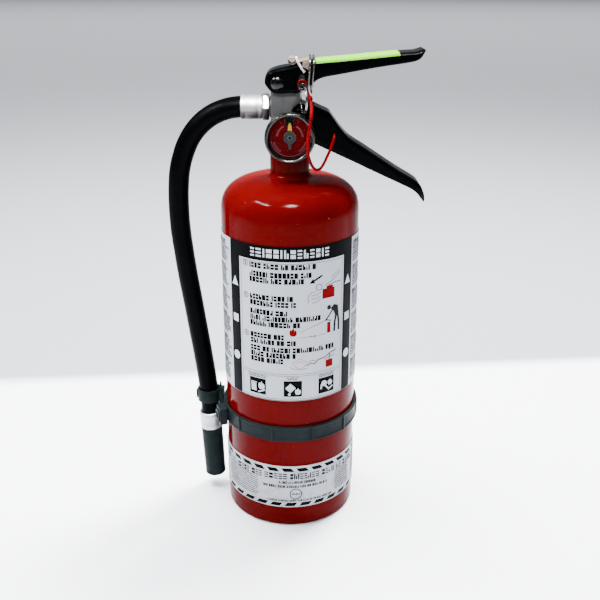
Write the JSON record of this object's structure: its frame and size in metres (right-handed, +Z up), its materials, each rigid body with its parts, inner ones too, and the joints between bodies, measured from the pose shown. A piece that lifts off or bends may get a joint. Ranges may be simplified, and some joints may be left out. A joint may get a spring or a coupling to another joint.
{
  "type": "fire extinguisher",
  "caption": "Upright hand-held dry-powder fire extinguisher with a squeeze lever, carrying handle, pressure gauge, pull pin and a side hose clipped to a band.",
  "frame": {"origin": "centre of the box of everything but the hose, at the foot; the cylinder's axis stands 11.3 mm to the -X side", "axes": "+Z up the cylinder, +X along the lever, -Y out of the pressure gauge's dial"},
  "size_m": [0.199, 0.1141, 0.381],
  "materials": {
    "red_paint": "gloss enamel",
    "black_paint": "satin powder coat",
    "cast_aluminium": "matte, as cast",
    "bright_aluminium": "turned, bright",
    "steel": "bright plate",
    "brass": "turned",
    "hose_rubber": "satin",
    "seal_rubber": "matte",
    "black_plastic": "moulded satin",
    "white_plastic": "extruded",
    "red_plastic": "moulded",
    "label": "printed film",
    "dial": "printed",
    "pointer": "matte",
    "lens": "clear",
    "reflective_tape": "retroreflective film",
    "kraft_paper": "torn kraft paper"
  },
  "bodies": {
    "cylinder": {"cylinder_shell": "red_paint", "neck_collar": "red_paint", "carry_handle": "black_paint", "handle_rivet_upper": "black_paint", "handle_rivet_lower": "black_paint", "valve_body": "cast_aluminium", "hose_fitting": "bright_aluminium", "upper_ferrule": "bright_aluminium", "lower_ferrule": "bright_aluminium", "lever_rivet": "steel", "gauge_case": "steel", "gauge_bezel": "steel", "siphon_adaptor": "brass", "bourdon_tube": "brass", "gauge_stem": "brass", "hose": "hose_rubber", "collar_seal": "seal_rubber", "stem_seal": "seal_rubber", "nozzle": "black_plastic", "retaining_band": "black_plastic", "band_buckle": "black_plastic", "hose_clip": "black_plastic", "siphon_tube": "white_plastic", "instruction_label": "label", "lower_label": "label", "gauge_dial": "dial", "gauge_lens": "lens"},
    "lever": {"discharge_lever": "black_paint", "lever_tape": "reflective_tape", "tag_ring": "steel", "tag_stub": "kraft_paper", "tag_wire": "steel"},
    "stem": {"valve_stem": "brass", "seat_seal": "seal_rubber", "stem_spring": "steel"},
    "pin": {"pull_pin": "steel", "tamper_seal": "red_plastic"},
    "ring": {"pull_ring": "steel"},
    "needle": {"gauge_needle": "pointer"}
  },
  "joints": [
    {"name": "lever_hinge", "type": "hinge", "parent": "cylinder", "child": "lever", "pos_m": [-0.0205, 0, 0.3568], "axis": [0, 1, 0], "range_deg": [0, 14], "stiffness_Nm_per_rad": 6, "springref_deg": -8.59},
    {"name": "stem_slide", "type": "slide", "parent": "cylinder", "child": "stem", "axis": [0, 0, -1], "range_m": [0, 0.0024], "deforming": ["stem_spring"]},
    {"name": "pin_slide", "type": "slide", "parent": "cylinder", "child": "pin", "axis": [0, -1, 0], "range_m": [0, 0.04]},
    {"name": "ring_swing", "type": "hinge", "parent": "pin", "child": "ring", "pos_m": [-0.0021, -0.0195, 0.3554], "axis": [-0.9781, -0.2079, 0], "range_deg": [0, 72]},
    {"name": "needle_spindle", "type": "hinge", "parent": "cylinder", "child": "needle", "pos_m": [-0.0113, -0.024, 0.3197], "axis": [0, 1, 0], "range_deg": [-75, 75], "stiffness_Nm_per_rad": 0.0005}
  ],
  "couplings": [
    {"joint": "stem_slide", "follows": "lever_hinge", "m_per_rad": 0.0092}
  ]
}
